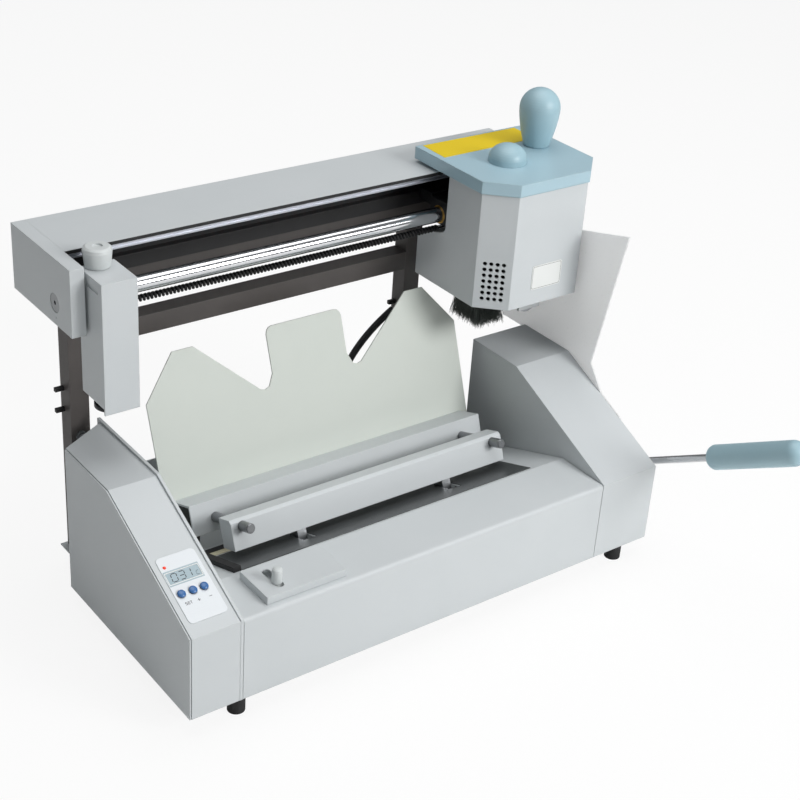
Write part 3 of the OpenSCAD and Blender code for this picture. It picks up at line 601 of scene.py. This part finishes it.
# Display digits: a bar's length and thickness, half a digit's height, and the line they stand on.
BAR_LENGTH = 4.6
BAR_THICK = 0.8
DIGIT_HALF = 4.1
DIGIT_FOOT = 56.6
SLANT = 0.1
SLANT_FROM = 54

# The window's edges on the control face: x from and to, s from and to.
WINDOW = (9.4, 41.7, 55.3, 66.7)

# Low and high faces of the printed layers, as heights over the control face.
DIGIT_LAYER = (0.5, 0.56)
BORDER_LAYER = (0.6, 0.66)
MARK_LAYER = (0.6, 0.64)
FRAME_LAYER = (0.55, 0.68)


def segment(x, s, w, h):
    """A display bar: a long hexagon, w wide and h high, leaning to the right by SLANT of its height."""
    e = min(w, h) / 2
    if w > h:
        o = [(0, e), (e, 0), (w - e, 0), (w, e), (w - e, h), (e, h)]
    else:
        o = [(e, 0), (w, e), (w, h - e), (e, h), (0, h - e), (0, e)]
    return np.array([(x + a + (s + b - SLANT_FROM) * SLANT, s + b) for a, b in o])


def display_digits():
    """Seven bar digits from a table of which bars are lit, and a tinted border round the window."""
    lit_bars = {"0": "abcdef", "3": "abcdg", "1": "bc", "C": "adef"}
    w, h, t = BAR_LENGTH, DIGIT_HALF, BAR_THICK
    spots = {"a": (t, 2 * h, w, t), "g": (t, h, w, t), "d": (t, 0, w, t), "f": (0, h + t, t, h - t),
             "b": (w + t, h + t, t, h - t), "e": (0, t, t, h - t), "c": (w + t, t, t, h - t)}
    parts = []
    for digit, x, scale in (("0", 12.5, 1.0), ("3", 20.3, 1.0), ("1", 26.5, 1.0), ("C", 36.6, 0.5)):
        for lit in lit_bars[digit]:
            bx, bs, bw, bh = spots[lit]
            outline = segment(x + bx * scale, DIGIT_FOOT + bs * scale, bw * scale, bh * scale)
            parts.append(slab(outline, *DIGIT_LAYER))
    verts, faces = gather(parts)
    piece("display_digits", on_slope(verts), faces, "print_ink", "frame", smooth=False)
    verts, faces = ring_slab(bar(8.2, 42.9, 53.2, 68.9), bar(*WINDOW), *BORDER_LAYER)
    piece("display_border", on_slope(verts), faces, "tinted_film", "frame", smooth=False)


# Keypad letters: width, height, stroke, and the line they stand on.
LETTER_WIDTH = 1.9
LETTER_HEIGHT = 2.9
STROKE = 0.42
LETTER_FOOT = 32.0


def keypad_print():
    """Printed marks of straight strokes, a plus and a minus, and the display's white frame.

    Strokes: a top, g middle, d bottom, t upper left, l lower left, r lower right, m upright in the middle.
    """
    w, h, t, y = LETTER_WIDTH, LETTER_HEIGHT, STROKE, LETTER_FOOT
    outlines = []
    for x, strokes in ((13.1, "agdtr"), (15.6, "agdtl"), (18.0, "am")):
        box = {"a": (x, x + w, y + h - t, y + h),
               "g": (x, x + w, y + h / 2 - t / 2, y + h / 2 + t / 2),
               "d": (x, x + w, y, y + t),
               "t": (x, x + t, y + h / 2, y + h),
               "l": (x, x + t, y, y + h / 2),
               "r": (x + w - t, x + w, y, y + h / 2),
               "m": (x + w / 2 - t / 2, x + w / 2 + t / 2, y, y + h)}
        outlines += [bar(*box[stroke]) for stroke in strokes]
    outlines += [bar(25.0, 28.0, 33.0, 33.5), bar(26.25, 26.75, 31.7, 34.8), bar(36.6, 39.4, 32.8, 33.3)]
    verts, faces = gather([slab(outline, *MARK_LAYER) for outline in outlines])
    piece("keypad_marks", on_slope(verts), faces, "print_ink", "frame", smooth=False)
    verts, faces = ring_slab(rounded(8.6, 42.5, 54.5, 67.5, 1.0), rounded(*WINDOW, 0.6), *FRAME_LAYER)
    piece("display_frame", on_slope(verts), faces, "white_film", "frame", smooth=False)


# The slope's plates in clamp directions: the runs along x between the rack slots, and their heights.
SLOPE_RUNS = ((93, 172.5), (187.5, 348.5), (363.5, 440))
PLATE_LAYER = (-47.5, -46.8)
STRIP_LAYER = (-47.5, -45.8)


def slope_plates():
    """Flat slabs on the deck slope: a dark grey plate in four parts round the rack slots, and two strips."""
    left, right = SLOPE_RUNS[0][0], SLOPE_RUNS[-1][1]
    plate = [slab(bar(left, right, -84, -65), *PLATE_LAYER)]
    plate += [slab(bar(x0, x1, -65, -26), *PLATE_LAYER) for x0, x1 in SLOPE_RUNS]
    verts, faces = gather(plate)
    piece("slope_dark_plate", on_clamp(verts), faces, "slope_dark_sheet", "frame", smooth=False)
    for name, a0, a1, finish, slot in (("slope_cream_strip", -22, -15, "cream_strip", "sticker"),
                                       ("slope_black_strip", -14, -2, "rubber", "black_rubber")):
        verts, faces = gather([slab(bar(x0, x1, a0, a1), *STRIP_LAYER) for x0, x1 in SLOPE_RUNS])
        piece(name, on_clamp(verts), faces, finish, "frame", smooth=False)


# The stretch of the beam between its end caps.
BEAM_X0 = 14.2
BEAM_X1 = 551.8


def beam_edge():
    """A black strip on the front lip of the beam cover, painted shade for the shadow gap under the lip, and
    the pressed steel channel that hangs behind it.
    """
    flanges = (246.2, 248, 347.9, 349.4), (246.2, 248, 344.4, 345.9), (248, 249, 344.4, 351.4)
    verts, faces = gather([along_x(bar(*flange), BEAM_X0, BEAM_X1) for flange in flanges])
    piece("beam_channel", verts, faces, "zinc_plate", "frame", smooth=False)
    # Painted shade: a strip in the black rubber finish where the lip's shadow gap falls.
    verts, faces = along_x(bar(245.5, 246, 349.55, 352.7), BEAM_X0, BEAM_X1)
    piece("beam_lip_shade_strip", verts, faces, "rubber", "frame", smooth=False)


# The housing's cut corner: the middle of its face and its turn from the front.
CORNER_X = 444.75
CORNER_Y = 159
CORNER_TURN = math.radians(43.4)


def vent_shade_sheet():
    """A dead black sheet close behind the vent holes, turned with the cut corner of the housing: painted
    shade for the dark inside of the housing.
    """
    verts, faces = slab(bar(-13, 13, 2.3, 2.9), 237, 287)
    x = CORNER_X + verts[:, 0] * math.cos(CORNER_TURN) + verts[:, 1] * math.sin(CORNER_TURN)
    y = CORNER_Y - verts[:, 0] * math.sin(CORNER_TURN) + verts[:, 1] * math.cos(CORNER_TURN)
    piece("vent_shade_sheet", np.column_stack([x, y, verts[:, 2]]), faces, "shade_black_sheet", "glue_head",
          smooth=False)


# The rear jaw's middle, and the outer faces of the black blocks in its open ends left and right of it.
JAW_MIDDLE = 268.2
SHADE_BLOCK_FROM_MIDDLE = 174
SHADE_BLOCK_THICK = 2.5


def jaw_end_shade_blocks():
    """Black blocks set 3 mm into the two open ends of the rear jaw: painted shade for the dark inside of the
    hollow jaw.
    """
    outline = rounded(2.05, 30.45, -28.95, -2.05, 1.0, 4)
    starts = (JAW_MIDDLE - SHADE_BLOCK_FROM_MIDDLE, JAW_MIDDLE + SHADE_BLOCK_FROM_MIDDLE - SHADE_BLOCK_THICK)
    verts, faces = gather([along_x(outline, x, x + SHADE_BLOCK_THICK) for x in starts])
    piece("jaw_end_shade_blocks", on_clamp(verts), faces, "black_abs", "frame", smooth=False)


def standing(verts):
    """Points of a flat slab in (x, z, n) turned upright, with n towards the front."""
    return np.column_stack([verts[:, 0], -verts[:, 2], verts[:, 1]])


def head_labels():
    """A blank yellow film along the back of the head plate and a small blank label on the housing."""
    verts, faces = slab([(436, 241.5), (560, 243), (560, 279), (437, 280)], 369.6, 369.8)
    piece("head_yellow_film", verts, faces, "yellow_film", "glue_head", smooth=False)
    verts, faces = slab(rounded(486, 526, 248, 275, 2.5), -145.95, -145.6)
    piece("head_blank_label", standing(verts), faces, "white_film", "glue_head", smooth=False)
    outer = rounded(487, 525, 249, 274, 2)
    inner = rounded(487.3, 524.7, 249.3, 273.7, 1.8)
    verts, faces = ring_slab(outer, inner, -145.7, -145.55)
    piece("head_label_line", standing(verts), faces, "print_ink", "glue_head", smooth=False)


# ---------------------------------------------------------------- floor and sky

FLOOR_HALF = 9
FLOOR_GLOW_SHARE = 0.88
SKY_STRENGTH = 0.22


def floor_and_world():
    """A pale floor and a pale even sky, which both look nearly white to the camera."""
    r = FLOOR_HALF
    me = bpy.data.meshes.new("studio_floor")
    me.from_pydata([(-r, -r, 0), (r, -r, 0), (r, r, 0), (-r, r, 0)], [], [[0, 1, 2, 3]])
    ob = bpy.data.objects.new("studio_floor", me)
    bpy.context.collection.objects.link(ob)
    mat = bpy.data.materials.new("studio_paper")
    mat.use_nodes = True
    t = mat.node_tree
    shader = t.nodes["Principled BSDF"]
    shader.inputs["Roughness"].default_value = 0.9
    shader.inputs["Specular IOR Level"].default_value = 0.1
    at = node(t, "ShaderNodeTexCoord")
    tooth = node(t, "ShaderNodeTexNoise", {"Vector": at.outputs["Object"]}, Scale=3.0, Detail=2.0)
    tone = node(t, "ShaderNodeMix", {"Factor": tooth.outputs[0]}, data_type="RGBA")
    tone.inputs[6].default_value = srgb("#F4F4F3")
    tone.inputs[7].default_value = srgb("#F7F7F6")
    t.links.new(tone.outputs[2], shader.inputs["Base Color"])
    glow = node(t, "ShaderNodeEmission", Strength=1.0)
    rays = node(t, "ShaderNodeLightPath")
    share = node(t, "ShaderNodeMath", {0: rays.outputs["Is Camera Ray"]}, operation="MULTIPLY")
    share.inputs[1].default_value = FLOOR_GLOW_SHARE
    mix = node(t, "ShaderNodeMixShader", {0: share.outputs[0], 1: shader.outputs[0], 2: glow.outputs[0]})
    t.links.new(mix.outputs[0], t.nodes["Material Output"].inputs[0])
    me.materials.append(mat)
    world = bpy.data.worlds.new("studio")
    bpy.context.scene.world = world
    world.use_nodes = True
    t = world.node_tree
    t.nodes.clear()
    out = node(t, "ShaderNodeOutputWorld")
    path = node(t, "ShaderNodeLightPath")
    soft = node(t, "ShaderNodeBackground", Strength=SKY_STRENGTH)
    soft.inputs[0].default_value = srgb("#F2F5F7")
    white = node(t, "ShaderNodeBackground", Strength=1.0)
    white.inputs[0].default_value = (1, 1, 1, 1)
    mix = node(t, "ShaderNodeMixShader", {0: path.outputs["Is Camera Ray"], 1: soft.outputs[0],
                                           2: white.outputs[0]})
    t.links.new(mix.outputs[0], out.inputs[0])


# ---------------------------------------------------------------- the scene

make_camera()
dress_nodes()
curly_cord()
loom_sleeve()
brush_bristles()
display_digits()
keypad_print()
slope_plates()
beam_edge()
vent_shade_sheet()
jaw_end_shade_blocks()
head_labels()
floor_and_world()
area_light("key_light", (1.1, -2.3, 1.5), 1.3, 53)
area_light("fill_light", (-2.2, -0.6, 1.0), 1.4, 1)
area_light("top_light", (0.3, 0.2, 2.6), 2.6, 36)
bpy.context.scene.view_settings.view_transform = "Standard"
